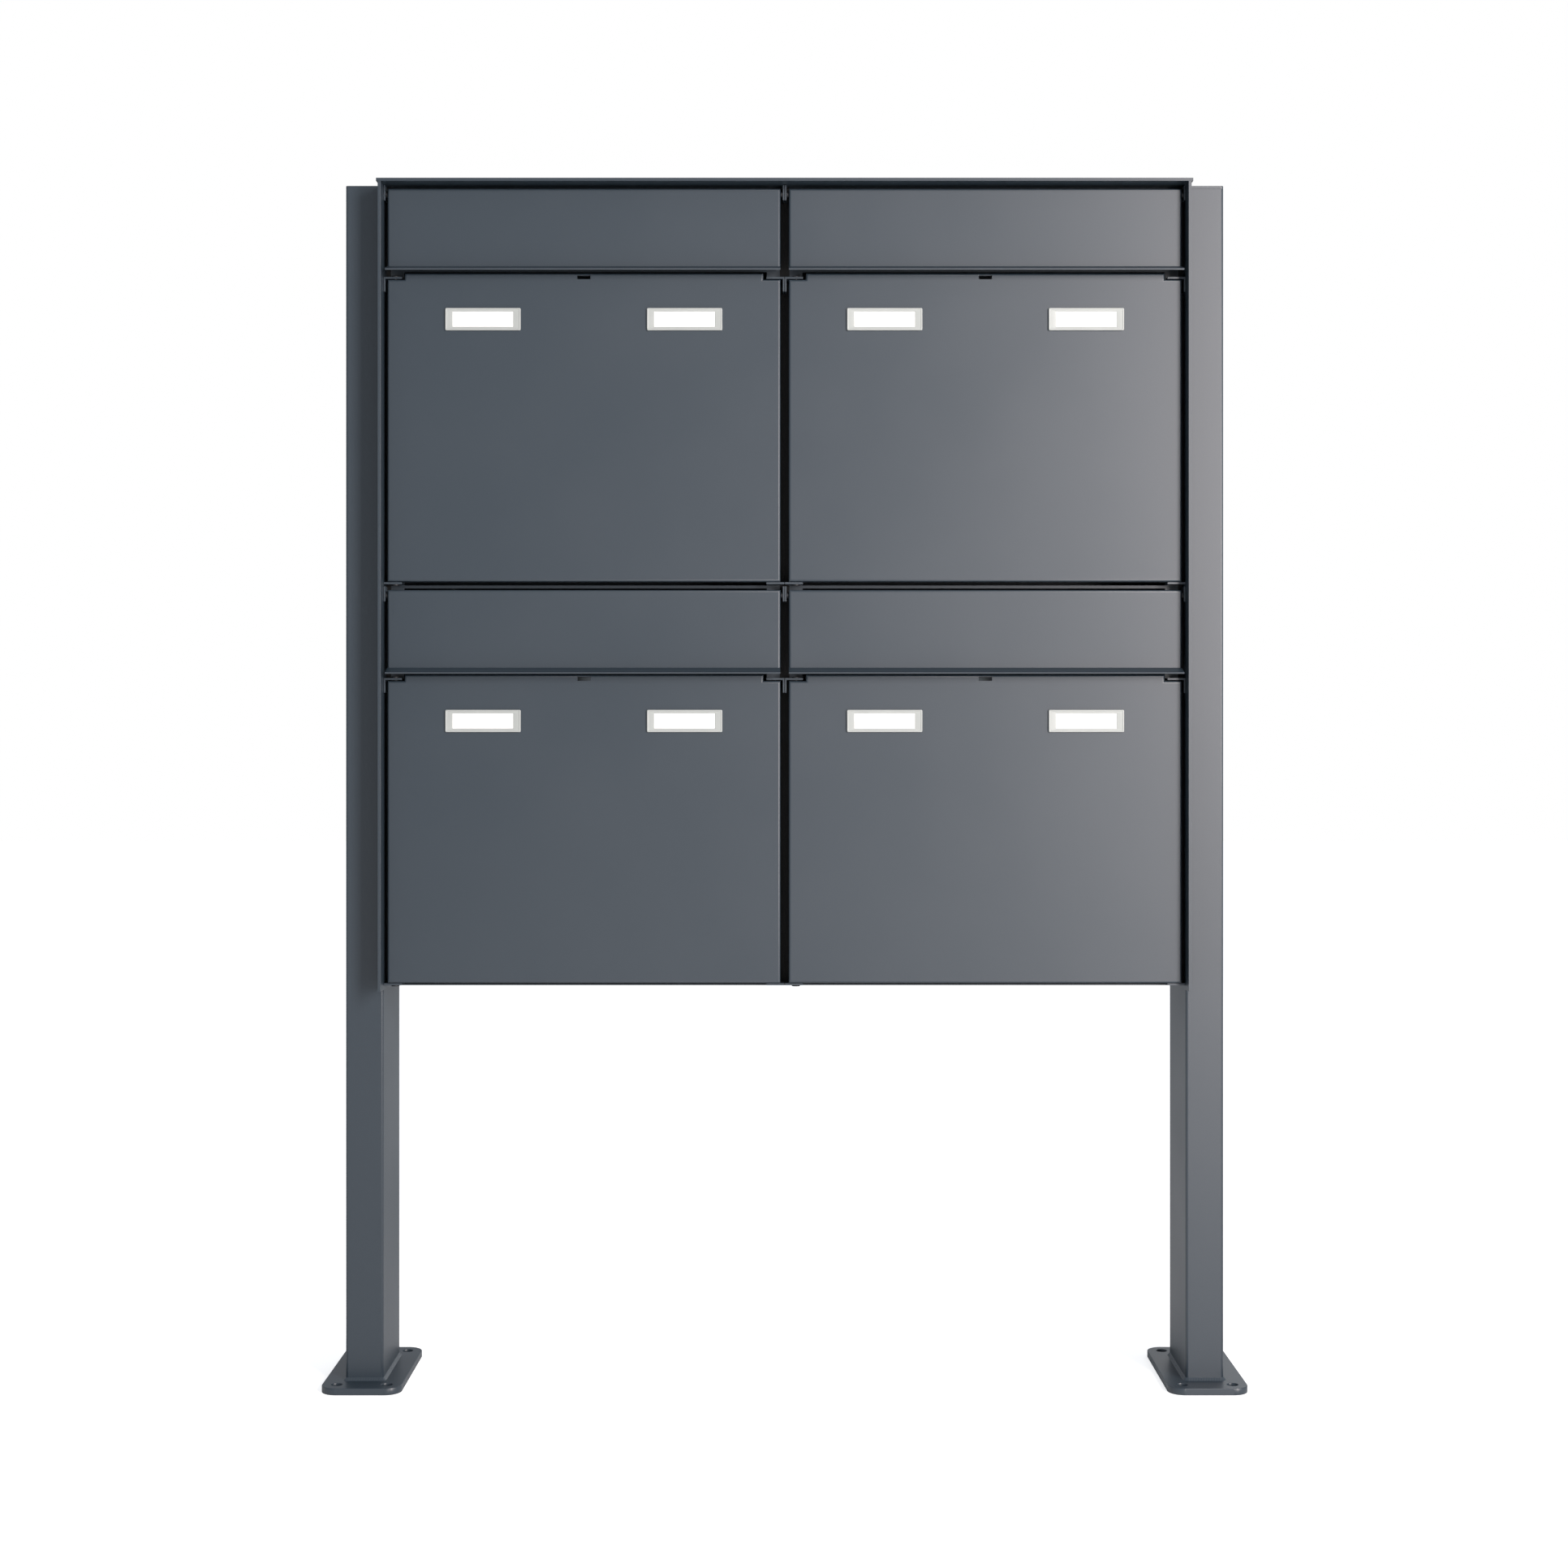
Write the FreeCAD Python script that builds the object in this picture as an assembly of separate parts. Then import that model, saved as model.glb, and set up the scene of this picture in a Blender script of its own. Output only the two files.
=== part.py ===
"""Cluster mailbox unit: a bank of letterboxes on two bolt-down posts.

Frame: X to the right, the doors face -Y, Z up. The origin is the middle of the unit's footprint
on the ground. All sizes are in millimetres.

Every letterbox is built once in its own module frame and moved to its cell: x runs from the
module's left edge, z from its bottom edge, and y is the depth behind the plane of the doors.
"""
import FreeCAD, Part
import os
from math import atan2, cos, pi, sin, tan

V = FreeCAD.Vector
X_AXIS = V(1, 0, 0)
Y_AXIS = V(0, 1, 0)
Z_AXIS = V(0, 0, 1)
MIDDLE = V(0, 0, 0)
tiny = 1e-6                  # lengths below this count as nothing
hex_sides = 6

# ---------------------------------------------------------------- letterbox grid
pitch_x = 400.0              # module width
pitch_z = 400.0              # module height
columns = ("left", "right")
rows = ("lower", "upper")
edge_gap = 4.2               # from a module's edge to its door and flap
case_depth = 125.0           # plane of the doors to the back of the case
case_floor = 397.0           # case above the top of the foot plate

# ---------------------------------------------------------------- sheet metal
sheet = 1.5                  # shells, front frames, doors and flaps
bend_radius = 2.2            # outside radius of a folded edge
frame_depth = 19.0           # plane of the doors to the front frame
frame_flange = 18.0          # width of the front frame's side flanges

# ---------------------------------------------------------------- outer case
panel_sheet = 3.0            # side panels and roof
panel_reach = 15.0           # side panels and roof in front of the doors
panel_drop = 3.0             # side panels below the modules
roof_overhang = 1.6          # roof past the side panels
roof_post_gap = 0.4          # roof to post

# ---------------------------------------------------------------- posts
post_width = 38.0
post_depth = 100.0
post_height = 1200.0         # foot plate to top of cap
post_wall = 2.5
post_corner = 2.5
post_setback = 20.0          # plane of the doors to the front of the post
cap_thickness = 3.0
cap_plug_depth = 14.0
cap_plug_clearance = 0.2

# ---------------------------------------------------------------- foot plates
foot_width = 80.0
foot_depth = 160.0
foot_thickness = 7.0
foot_corner = 16.0
foot_hole_radius = 5.5
foot_hole_x = 50.0           # hole spacing
foot_hole_y = 130.0
weld_leg = 2.8
weld_toe = 0.14              # top of the bead in front of the post's face

# ---------------------------------------------------------------- mail flap
flap_return = 12.0           # depth of the folded edges
crease_z = 318.4             # fold above the grip lip
lip_reach = 15.0
lip_drop = 5.0
lip_overlap = 3.0            # lip's sheet run up into the flap
flap_axis_y = 6.0
flap_axis_below_top = 5.0

# ---------------------------------------------------------------- door
door_top_z = 311.4
door_return = 14.0
notch_width = 17.0
notch_depth = 6.2
slot_width = 13.0            # pull slot in the middle of the top edge
slot_height = 4.4
slot_below_top = 1.6
door_axis_inset = 7.0        # hinge axis from the door's edge and from its face

# ---------------------------------------------------------------- hinge tabs and pins
tab_front = 2.0              # depth where tabs and ears start
tab_sheet = 2.0
tab_notch_gap = 3.0          # end of the tab to the side of the notch
tab_clearance = 1.0          # top tab above the notch
bottom_tab_clearance = 0.5   # bottom tab below the door
ear_sheet = 1.5
ear_inset = 0.3              # ear from the module's edge
top_tab_leg = 12.7
ear_height = 15.0
ear_below_top = 0.5
flap_pin_radius = 2.0
flap_pin_head_radius = 3.2
flap_pin_head = 1.0
door_pin_radius = 2.5
door_pin_head_radius = 4.0
door_pin_head = 1.2
door_pin_reach = 6.0         # pin past the door's sheet
pin_clearance = 0.08         # radial, where a hinge turns
fixed_clearance = 0.05       # radial, where a pin is held
side_clearance = 0.3         # between a pin's shoulder and the flap

# ---------------------------------------------------------------- lock
rail_bottom_z = 316.0
rail_height = 30.0
lock_flange_radius = 12.0
lock_flange_thickness = 3.0
lock_barrel_radius = 9.0
lock_barrel_length = 17.0    # behind the face of the rail
lock_nut_across = 24.0
lock_nut_thickness = 4.0
plug_radius = 5.5
plug_clearance = 0.1
plug_proud = 1.0
keyway_width = 1.8
keyway_height = 7.0
keyway_depth = 6.0
plug_tail_radius = 3.0
plug_tail_length = 3.0
cam_gap = 0.5
cam_thickness = 2.0
cam_width = 10.0
cam_length = 33.0
catch_sheet = 2.0
catch_width = 30.0
catch_base = 26.0
catch_top_gap = 1.4          # catch below the door's top edge
catch_arm_below = 14.0       # arm below the catch's tip
catch_cam_gap = 0.5

# ---------------------------------------------------------------- name plates
holder_thickness = 2.5
holder_corner = 1.2
holder_z = 265.3             # centre
holder_edge = 99.6           # centre from the nearer module edge
window_width = 60.3
window_height = 15.0
border_x = 7.35              # holder beside the window
border_z = 3.6               # holder above and below the window
border_thickness = 1.0       # in front of the card
card_margin = 2.5            # pocket past the window
card_clearance = 0.3         # card to the sides of its pocket
card_thickness = 0.5

# ---------------------------------------------------------------- rubber bumpers
bumper_radius = 4.0
bumper_edge = 12.0           # door bumper from the module's edge
door_bumper_z = (40.0, 270.0)
flap_bumper_edge = 60.0
flap_bumper_above_rail = 9.0

# ---------------------------------------------------------------- screws
bolt_radius = 3.0
bolt_hole_clearance = 0.3
bolt_head_radius = 5.5
bolt_head = 3.3
bolt_length = 17.0
bolt_from_end = 80.0         # from a module's bottom and top edge
rivet_nut_radius = 4.5
rivet_nut_collar_radius = 6.0
rivet_nut_collar = 3.5
rivet_nut_length = 13.0
screw_radius = 2.5
screw_head_radius = 4.8
screw_head = 2.8
screw_length = 9.5
nut_across = 8.0
nut_thickness = 4.0
screw_from_side = 60.0
roof_hole_depth = 2.4

# ---------------------------------------------------------------- worked out
module_span_x = pitch_x * len(columns)
module_span_z = pitch_z * len(rows)
modules_z = foot_thickness + case_floor
modules_top_z = modules_z + module_span_z
panel_x = module_span_x / 2 + panel_sheet
post_x = panel_x + post_width / 2
post_top_z = foot_thickness + post_height
post_mid_depth = post_setback + post_depth / 2
foot_front_depth = post_mid_depth - foot_depth / 2
foot_back_depth = post_mid_depth + foot_depth / 2
front_depth = min(-panel_reach, foot_front_depth)
back_depth = max(case_depth, foot_back_depth)
door_plane_y = -(front_depth + back_depth) / 2
door_right = pitch_x - edge_gap
flap_top_z = pitch_z - edge_gap
notch_z = door_top_z - notch_depth
flap_axis_z = flap_top_z - flap_axis_below_top
tab_width = edge_gap + notch_width - tab_notch_gap
door_axis_x = edge_gap + door_axis_inset
door_axis_y = door_axis_inset
lock_x = pitch_x / 2
lock_z = rail_bottom_z + rail_height / 2
rail_top_z = rail_bottom_z + rail_height
plug_front = frame_depth - lock_flange_thickness - plug_proud
barrel_end = frame_depth + lock_barrel_length
cam_front = barrel_end + cam_gap
bolt_heights = (bolt_from_end, pitch_z - bolt_from_end)
screw_places = (screw_from_side, pitch_x - screw_from_side)


# ================================================================ helpers
def block(x0, x1, y0, y1, z0, z1):
    """A box between two corners."""
    return Part.makeBox(x1 - x0, y1 - y0, z1 - z0, V(x0, y0, z0))


def rod(radius, start, axis, length):
    """A cylinder from a point along an axis."""
    return Part.makeCylinder(radius, length, V(*start), axis)


def hexagon(across, start, axis, length):
    """A hexagonal bar from a point along an axis."""
    corner = V(across / 2 / cos(pi / hex_sides), 0, 0)
    points = [FreeCAD.Rotation(Z_AXIS, 360 / hex_sides * count).multVec(corner) for count in range(hex_sides)]
    bar = Part.Face(Part.makePolygon(points + [points[0]])).extrude(V(0, 0, length))
    bar.Placement = FreeCAD.Placement(V(*start), FreeCAD.Rotation(Z_AXIS, axis))
    return bar


def prism_xz(points, y0, y1):
    """A prism along Y over a closed outline given as (x, z)."""
    outline = [V(x, y0, z) for x, z in points]
    outline.append(outline[0])
    return Part.Face(Part.makePolygon(outline)).extrude(V(0, y1 - y0, 0))


def prism_yz(points, x0, x1):
    """A prism along X over a closed outline given as (y, z)."""
    outline = [V(x0, y, z) for y, z in points]
    outline.append(outline[0])
    return Part.Face(Part.makePolygon(outline)).extrude(V(x1 - x0, 0, 0))


def round_edges(solid, radius, wanted):
    """Fillet the edges for which wanted(edge) is true."""
    return solid.makeFillet(radius, [edge for edge in solid.Edges if wanted(edge)])


def stands_up(edge):
    """True for a straight upright edge."""
    box = edge.BoundBox
    return box.XLength < tiny and box.YLength < tiny


def runs_through(edge):
    """True for a straight edge along Y."""
    box = edge.BoundBox
    return box.XLength < tiny and box.ZLength < tiny


def lies_at_depth(depth):
    """A test for edges that lie wholly at one depth."""
    return lambda edge: abs(edge.BoundBox.YMin - depth) < tiny and abs(edge.BoundBox.YMax - depth) < tiny


def mirror_module(shape):
    """The same shape on the other side of the module."""
    return shape.mirror(V(pitch_x / 2, 0, 0), X_AXIS)


def both_sides(shape):
    """A shape and its mirror image in the module."""
    return [shape, mirror_module(shape)]


def joined(shapes):
    """One solid out of overlapping or touching shapes."""
    result = shapes[0].multiFuse(shapes[1:])
    return result.removeSplitter()


def group(shapes):
    """Separate solids that share one node."""
    return Part.makeCompound(shapes)


# ================================================================ letterbox module
def body_shell():
    """Five-walled box that holds the mail, open at the front."""
    outer = block(0, pitch_x, frame_depth + sheet, case_depth, 0, pitch_z)
    room = block(sheet, pitch_x - sheet, frame_depth, case_depth - sheet, sheet, pitch_z - sheet)
    return outer.cut(room)


def hinge_tab(low_z, leg_bottom_z):
    """Angle on the front frame: a level tab for the door pin and an upright leg."""
    level = block(ear_inset, tab_width, tab_front, frame_depth, low_z, low_z + tab_sheet)
    leg = block(ear_inset, ear_inset + ear_sheet, tab_front, frame_depth, leg_bottom_z, low_z + tab_sheet)
    return joined([level, leg])


def top_tab_z():
    """Underside of the upper hinge tab."""
    return notch_z + tab_clearance


def bottom_tab_z():
    """Underside of the lower hinge tab."""
    return edge_gap - bottom_tab_clearance - tab_sheet


def front_frame():
    """Front frame with the mail opening, the lock rail, the door opening and the hinge tabs."""
    plate = block(0, pitch_x, frame_depth, frame_depth + sheet, 0, pitch_z)
    door_opening = block(frame_flange, pitch_x - frame_flange, 0, case_depth, sheet, rail_bottom_z)
    mail_opening = block(frame_flange, pitch_x - frame_flange, 0, case_depth, rail_top_z, pitch_z - sheet)
    plate = plate.cut(door_opening).cut(mail_opening)
    plate = plate.cut(rod(lock_barrel_radius + fixed_clearance, (lock_x, 0, lock_z), Y_AXIS, case_depth))
    top_tab = hinge_tab(top_tab_z(), top_tab_z() - top_tab_leg)
    bottom_tab = hinge_tab(bottom_tab_z(), bottom_tab_z())
    ear_top = pitch_z - ear_below_top
    ear = block(ear_inset, ear_inset + ear_sheet, tab_front, frame_depth, ear_top - ear_height, ear_top)
    pieces = [plate] + both_sides(top_tab) + both_sides(bottom_tab) + both_sides(ear)
    frame = joined(pieces)
    door_holes = rod(door_pin_radius + fixed_clearance, (door_axis_x, door_axis_y, 0), Z_AXIS, door_top_z)
    flap_holes = rod(flap_pin_radius + fixed_clearance, (0, flap_axis_y, flap_axis_z), X_AXIS, pitch_x)
    return frame.cut(door_holes).cut(flap_holes)


def flap_face_fold(edge):
    """True for the edges of the flap's face that are folded back: all but the one at the crease."""
    return lies_at_depth(0)(edge) and edge.BoundBox.ZMax > crease_z + tiny


def mail_flap():
    """Flap over the mail opening, folded at the top and sides, with a grip lip along its bottom."""
    tray = block(edge_gap, door_right, 0, flap_return, crease_z, flap_top_z)
    tray = round_edges(tray, bend_radius, flap_face_fold)
    room = block(edge_gap + sheet, door_right - sheet, sheet, case_depth, 0, flap_top_z - sheet)
    room = round_edges(room, bend_radius - sheet, lies_at_depth(sheet))
    flap = tray.cut(room)
    slope = atan2(lip_drop, lip_reach)
    inner_z = crease_z + sheet * tan(slope) * (1 - sin(slope)) - sheet * cos(slope)
    overlap_z = crease_z + lip_overlap
    outline = [
        (0, overlap_z),
        (0, crease_z),
        (-lip_reach, crease_z - lip_drop),
        (-lip_reach + sheet * sin(slope), crease_z - lip_drop - sheet * cos(slope)),
        (sheet, inner_z),
        (sheet, overlap_z),
    ]
    lip = prism_yz(outline, edge_gap + bend_radius, door_right - bend_radius)
    ends = prism_yz(outline[1:5] + [(sheet, crease_z)], edge_gap, door_right)
    flap = joined([flap, lip, ends])
    holes = rod(flap_pin_radius + pin_clearance, (0, flap_axis_y, flap_axis_z), X_AXIS, pitch_x)
    return flap.cut(holes)


def door_outline(inset):
    """Corner points of the door, with its two top notches, moved inwards by inset."""
    left = edge_gap + inset
    right = door_right - inset
    notch_left = edge_gap + notch_width + inset
    notch_right = door_right - notch_width - inset
    bottom = edge_gap + inset
    top = door_top_z - inset
    step = notch_z - inset
    return [(left, bottom), (right, bottom), (right, step), (notch_right, step),
            (notch_right, top), (notch_left, top), (notch_left, step), (left, step)]


def door():
    """Shallow folded door with a notch at each top corner and a pull slot."""
    tray = prism_xz(door_outline(0), 0, door_return)
    tray = round_edges(tray, bend_radius, lies_at_depth(0))
    room = prism_xz(door_outline(sheet), sheet, case_depth)
    room = round_edges(room, bend_radius - sheet, lies_at_depth(sheet))
    panel = tray.cut(room)
    slot_top = door_top_z - slot_below_top
    half_slot = slot_width / 2
    slot = block(lock_x - half_slot, lock_x + half_slot, -sheet, sheet, slot_top - slot_height, slot_top)
    pins = rod(door_pin_radius + pin_clearance, (door_axis_x, door_axis_y, 0), Z_AXIS, pitch_z)
    return panel.cut(slot).cut(pins)


def catch_profile():
    """Side view of the door catch: base on the door, level arm, upright tip for the cam."""
    tip_top = door_top_z - catch_top_gap
    arm_top = tip_top - catch_arm_below
    arm_bottom = arm_top - catch_sheet
    base_bottom = tip_top - catch_base - sheet
    tip_back = cam_front - catch_cam_gap
    return [(sheet, base_bottom), (sheet + catch_sheet, base_bottom), (sheet + catch_sheet, arm_bottom),
            (tip_back, arm_bottom), (tip_back, tip_top), (tip_back - catch_sheet, tip_top),
            (tip_back - catch_sheet, arm_top), (sheet, arm_top)]


def door_catch():
    """Bracket on the back of the door that the lock's cam turns behind."""
    return prism_yz(catch_profile(), lock_x - catch_width / 2, lock_x + catch_width / 2)


def lock_case():
    """Lock housing in the rail, and the nut that holds it."""
    flange_front = frame_depth - lock_flange_thickness
    housing = joined([
        rod(lock_flange_radius, (lock_x, flange_front, lock_z), Y_AXIS, lock_flange_thickness),
        rod(lock_barrel_radius, (lock_x, frame_depth, lock_z), Y_AXIS, lock_barrel_length),
    ])
    bore = rod(plug_radius + plug_clearance, (lock_x, 0, lock_z), Y_AXIS, case_depth)
    nut = hexagon(lock_nut_across, (lock_x, frame_depth + sheet, lock_z), Y_AXIS, lock_nut_thickness)
    nut_bore = rod(lock_barrel_radius + fixed_clearance, (lock_x, 0, lock_z), Y_AXIS, case_depth)
    return group([housing.cut(bore), nut.cut(nut_bore)])


def lock_plug():
    """Turning part of the lock, with the keyway in its face and a tail that carries the cam."""
    barrel = rod(plug_radius, (lock_x, plug_front, lock_z), Y_AXIS, cam_front - plug_front)
    tail = rod(plug_tail_radius, (lock_x, cam_front, lock_z), Y_AXIS, plug_tail_length)
    keyway = block(lock_x - keyway_width / 2, lock_x + keyway_width / 2, 0, plug_front + keyway_depth,
                   lock_z - keyway_height / 2, lock_z + keyway_height / 2)
    return joined([barrel, tail]).cut(keyway)


def lock_cam():
    """Flat tongue on the lock's tail, level when the lock is open."""
    half = cam_width / 2
    bar = block(lock_x - half, lock_x + cam_length - half, cam_front, cam_front + cam_thickness,
                lock_z - half, lock_z + half)
    bar = bar.fuse(rod(half, (lock_x + cam_length - half, cam_front, lock_z), Y_AXIS, cam_thickness))
    hole = rod(plug_tail_radius + fixed_clearance, (lock_x, 0, lock_z), Y_AXIS, case_depth)
    return bar.removeSplitter().cut(hole)


def flap_pin():
    """Shoulder pin from the frame's ear through the flap's folded side."""
    ear_side = ear_inset + ear_sheet
    shoulder_end = edge_gap - side_clearance
    head_start = edge_gap + sheet + side_clearance
    centre = (flap_axis_y, flap_axis_z)
    return joined([
        rod(flap_pin_radius, (ear_inset, *centre), X_AXIS, head_start - ear_inset),
        rod(flap_pin_head_radius, (ear_side, *centre), X_AXIS, shoulder_end - ear_side),
        rod(flap_pin_head_radius, (head_start, *centre), X_AXIS, flap_pin_head),
    ])


def door_pin(tab_face_z, direction):
    """Headed pin through a tab and the door; the head lies against the tab's far face."""
    end = tab_sheet + door_pin_reach
    shank_z = tab_face_z if direction > 0 else tab_face_z - end
    head_z = tab_face_z - door_pin_head if direction > 0 else tab_face_z
    return joined([
        rod(door_pin_radius, (door_axis_x, door_axis_y, shank_z), Z_AXIS, end),
        rod(door_pin_head_radius, (door_axis_x, door_axis_y, head_z), Z_AXIS, door_pin_head),
    ])


def hinge_pins():
    """The flap's two pins and the door's lower and upper pin."""
    door_pins = [door_pin(bottom_tab_z(), 1), door_pin(top_tab_z() + tab_sheet, -1)]
    return group(both_sides(flap_pin()) + door_pins)


def plate_centres():
    """Middles of a door's two name plates, from the module's left edge."""
    return (holder_edge, pitch_x - holder_edge)


def centred(x, z, width, height, y0, y1):
    """A box about a centre on the door's face."""
    return block(x - width / 2, x + width / 2, y0, y1, z - height / 2, z + height / 2)


def card_pocket(x, clearance, y0, y1):
    """The space for a card behind the window's border, less a clearance all round."""
    grow = 2 * (card_margin - clearance)
    return centred(x, holder_z, window_width + grow, window_height + grow, y0, y1)


def name_holder(x):
    """Plastic frame with a window and a pocket for the card behind it."""
    width = window_width + 2 * border_x
    height = window_height + 2 * border_z
    body = centred(x, holder_z, width, height, -holder_thickness, 0)
    body = round_edges(body, holder_corner, runs_through)
    window = centred(x, holder_z, window_width, window_height, -holder_thickness, 0)
    return body.cut(window).cut(card_pocket(x, 0, border_thickness - holder_thickness, 0))


def name_card(x):
    """Blank card against the back of the window's border."""
    front = border_thickness - holder_thickness
    return card_pocket(x, card_clearance, front, front + card_thickness)


def module_bumpers():
    """Rubber stops that the closed flap and the closed door rest on."""
    bumper_z = rail_bottom_z + flap_bumper_above_rail
    places = [(flap_bumper_edge, bumper_z), (pitch_x - flap_bumper_edge, bumper_z)]
    places += [(pitch_x - bumper_edge, z) for z in door_bumper_z]
    return [rod(bumper_radius, (x, sheet, z), Y_AXIS, frame_depth - sheet) for x, z in places]


module_parts = {
    "body_shell": body_shell(),
    "front_frame": front_frame(),
    "mail_flap": mail_flap(),
    "door": door(),
    "door_catch": door_catch(),
    "lock_case": lock_case(),
    "lock_plug": lock_plug(),
    "lock_cam": lock_cam(),
    "hinge_pins": hinge_pins(),
    "name_holders": group([name_holder(x) for x in plate_centres()]),
    "name_cards": group([name_card(x) for x in plate_centres()]),
}


# ================================================================ posts and outer case
def world(x, depth, z):
    """A point of the unit from its x, its depth behind the doors and its height."""
    return V(x, door_plane_y + depth, z)


def unit_block(x0, x1, depth0, depth1, z0, z1):
    """A box of the unit, given by depth behind the doors."""
    return block(x0, x1, door_plane_y + depth0, door_plane_y + depth1, z0, z1)


def unit_rod(radius, x, depth, z, axis, length):
    """A cylinder of the unit, from a point given by depth behind the doors."""
    return rod(radius, tuple(world(x, depth, z)), axis, length)


def mirror_unit(shape):
    """The same shape on the other side of the unit."""
    return shape.mirror(MIDDLE, X_AXIS)


def mirrored_pairs(shapes):
    """Shapes beside the right post, and the same beside the left one."""
    return shapes + [mirror_unit(shape) for shape in shapes]


def post_bar(inset, z0, z1, corner):
    """Upright bar with the post's section, moved inwards by inset."""
    half = post_width / 2 - inset
    front = post_setback + inset
    back = post_setback + post_depth - inset
    bar = unit_block(post_x - half, post_x + half, front, back, z0, z1)
    return round_edges(bar, corner, stands_up)


def bolt_points():
    """Heights of the bolts between the case and a post."""
    return [modules_z + row * pitch_z + height for row in range(len(rows)) for height in bolt_heights]


def across_panel(radius, start_x, length):
    """Cylinders along X at every bolt of the right post."""
    return [unit_rod(radius, start_x, post_mid_depth, z, X_AXIS, length) for z in bolt_points()]


def drilled(solid, tools):
    """The solid with every tool cut out of it."""
    for tool in tools:
        solid = solid.cut(tool)
    return solid


def post():
    """Rectangular tube from the foot plate to the cap."""
    top = post_top_z - cap_thickness
    tube = post_bar(0, foot_thickness, top, post_corner)
    tube = tube.cut(post_bar(post_wall, foot_thickness, top, post_corner / 2))
    return drilled(tube, across_panel(rivet_nut_radius + fixed_clearance, panel_x, post_wall))


def post_cap():
    """Cap with a plug that fits inside the tube."""
    plug_top = post_top_z - cap_thickness
    lid = post_bar(0, plug_top, post_top_z, post_corner)
    plug = post_bar(post_wall + cap_plug_clearance, plug_top - cap_plug_depth, plug_top, post_corner / 2)
    return joined([lid, plug])


def weld_bead():
    """Fillet weld round the foot of the post."""
    x0 = post_x - post_width / 2
    x1 = post_x + post_width / 2
    y0 = door_plane_y + post_setback
    y1 = y0 + post_depth
    low = rounded_loop(x0 - weld_leg, x1 + weld_leg, y0 - weld_leg, y1 + weld_leg, foot_thickness,
                       post_corner + weld_leg)
    high = rounded_loop(x0 - weld_toe, x1 + weld_toe, y0 - weld_toe, y1 + weld_toe, foot_thickness + weld_leg,
                        post_corner + weld_toe)
    bead = Part.makeLoft([low, high], True, True)
    return bead.cut(post_bar(0, 0, post_top_z, post_corner))


def rounded_loop(x0, x1, y0, y1, z, corner):
    """A closed wire: a level rectangle with rounded corners."""
    face = Part.Face(Part.makePolygon([V(x0, y0, z), V(x1, y0, z), V(x1, y1, z), V(x0, y1, z), V(x0, y0, z)]))
    slab = round_edges(face.extrude(Z_AXIS), corner, stands_up)
    level = [side for side in slab.Faces if side.BoundBox.ZMax - z < tiny]
    return level[0].OuterWire


def foot_plate():
    """Foot plate with four bolt holes."""
    half = foot_width / 2
    plate = unit_block(post_x - half, post_x + half, foot_front_depth, foot_back_depth, 0, foot_thickness)
    plate = round_edges(plate, foot_corner, stands_up)
    for side_x in (-1, 1):
        for side_y in (-1, 1):
            x = post_x + side_x * foot_hole_x / 2
            depth = post_mid_depth + side_y * foot_hole_y / 2
            plate = plate.cut(unit_rod(foot_hole_radius, x, depth, 0, Z_AXIS, foot_thickness))
    return plate


def side_panel():
    """Outer side of the case, between the modules and a post."""
    low = modules_z - panel_drop
    panel = unit_block(module_span_x / 2, panel_x, -panel_reach, case_depth, low, modules_top_z)
    return drilled(panel, across_panel(bolt_radius + bolt_hole_clearance, module_span_x / 2, panel_sheet))


def roof_plate():
    """Flat roof over the modules and side panels, cut back to clear the posts."""
    half = panel_x + roof_overhang
    top = modules_top_z + panel_sheet
    roof = unit_block(-half, half, -panel_reach, case_depth, modules_top_z, top)
    beside_post = unit_block(panel_x, half, post_setback - roof_post_gap, case_depth, modules_top_z, top)
    roof = roof.cut(beside_post).cut(mirror_unit(beside_post))
    holes = [unit_rod(screw_radius + fixed_clearance, x, depth, z, Z_AXIS, roof_hole_depth)
             for x, depth, z in roof_screw_points()]
    return drilled(roof, holes)


def module_origin(column, row):
    """Left bottom corner of a cell of the grid."""
    return (column * pitch_x - module_span_x / 2, modules_z + row * pitch_z)


# ================================================================ fasteners
def panel_bolt(z):
    """Button-head bolt through shell, panel and post, beside the right post."""
    inner = module_span_x / 2 - sheet
    return joined([
        unit_rod(bolt_head_radius, inner - bolt_head, post_mid_depth, z, X_AXIS, bolt_head),
        unit_rod(bolt_radius, inner, post_mid_depth, z, X_AXIS, bolt_length),
    ])


def rivet_nut(z):
    """Threaded insert in the wall of the right post."""
    wall_end = panel_x + post_wall
    nut = joined([
        unit_rod(rivet_nut_radius, panel_x, post_mid_depth, z, X_AXIS, rivet_nut_length),
        unit_rod(rivet_nut_collar_radius, wall_end, post_mid_depth, z, X_AXIS, rivet_nut_collar),
    ])
    bore = unit_rod(bolt_radius + fixed_clearance, panel_x, post_mid_depth, z, X_AXIS, rivet_nut_length)
    return nut.cut(bore)


def sideways_screw_points():
    """Screws between neighbouring modules in a row."""
    return [(column * pitch_x - module_span_x / 2, post_mid_depth, modules_z + row * pitch_z + height)
            for column in range(1, len(columns)) for row in range(len(rows)) for height in bolt_heights]


def upright_screw_points(row):
    """Screws through the bottom of a row of modules."""
    return [(column * pitch_x - module_span_x / 2 + x, post_mid_depth, modules_z + row * pitch_z)
            for column in range(len(columns)) for x in screw_places]


def stacked_screw_points():
    """Screws between each row of modules and the row below it."""
    return [point for row in range(1, len(rows)) for point in upright_screw_points(row)]


def roof_screw_points():
    """Screws between the top row of modules and the roof."""
    return upright_screw_points(len(rows))


def screw(point, axis, length):
    """Pan-head screw through a shell wall; the point is on the wall's far face."""
    x, depth, z = point
    start = world(x, depth, z).sub(axis * sheet)
    head = rod(screw_head_radius, tuple(start.sub(axis * screw_head)), axis, screw_head)
    shank = rod(screw_radius, tuple(start), axis, length)
    return joined([head, shank])


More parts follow.
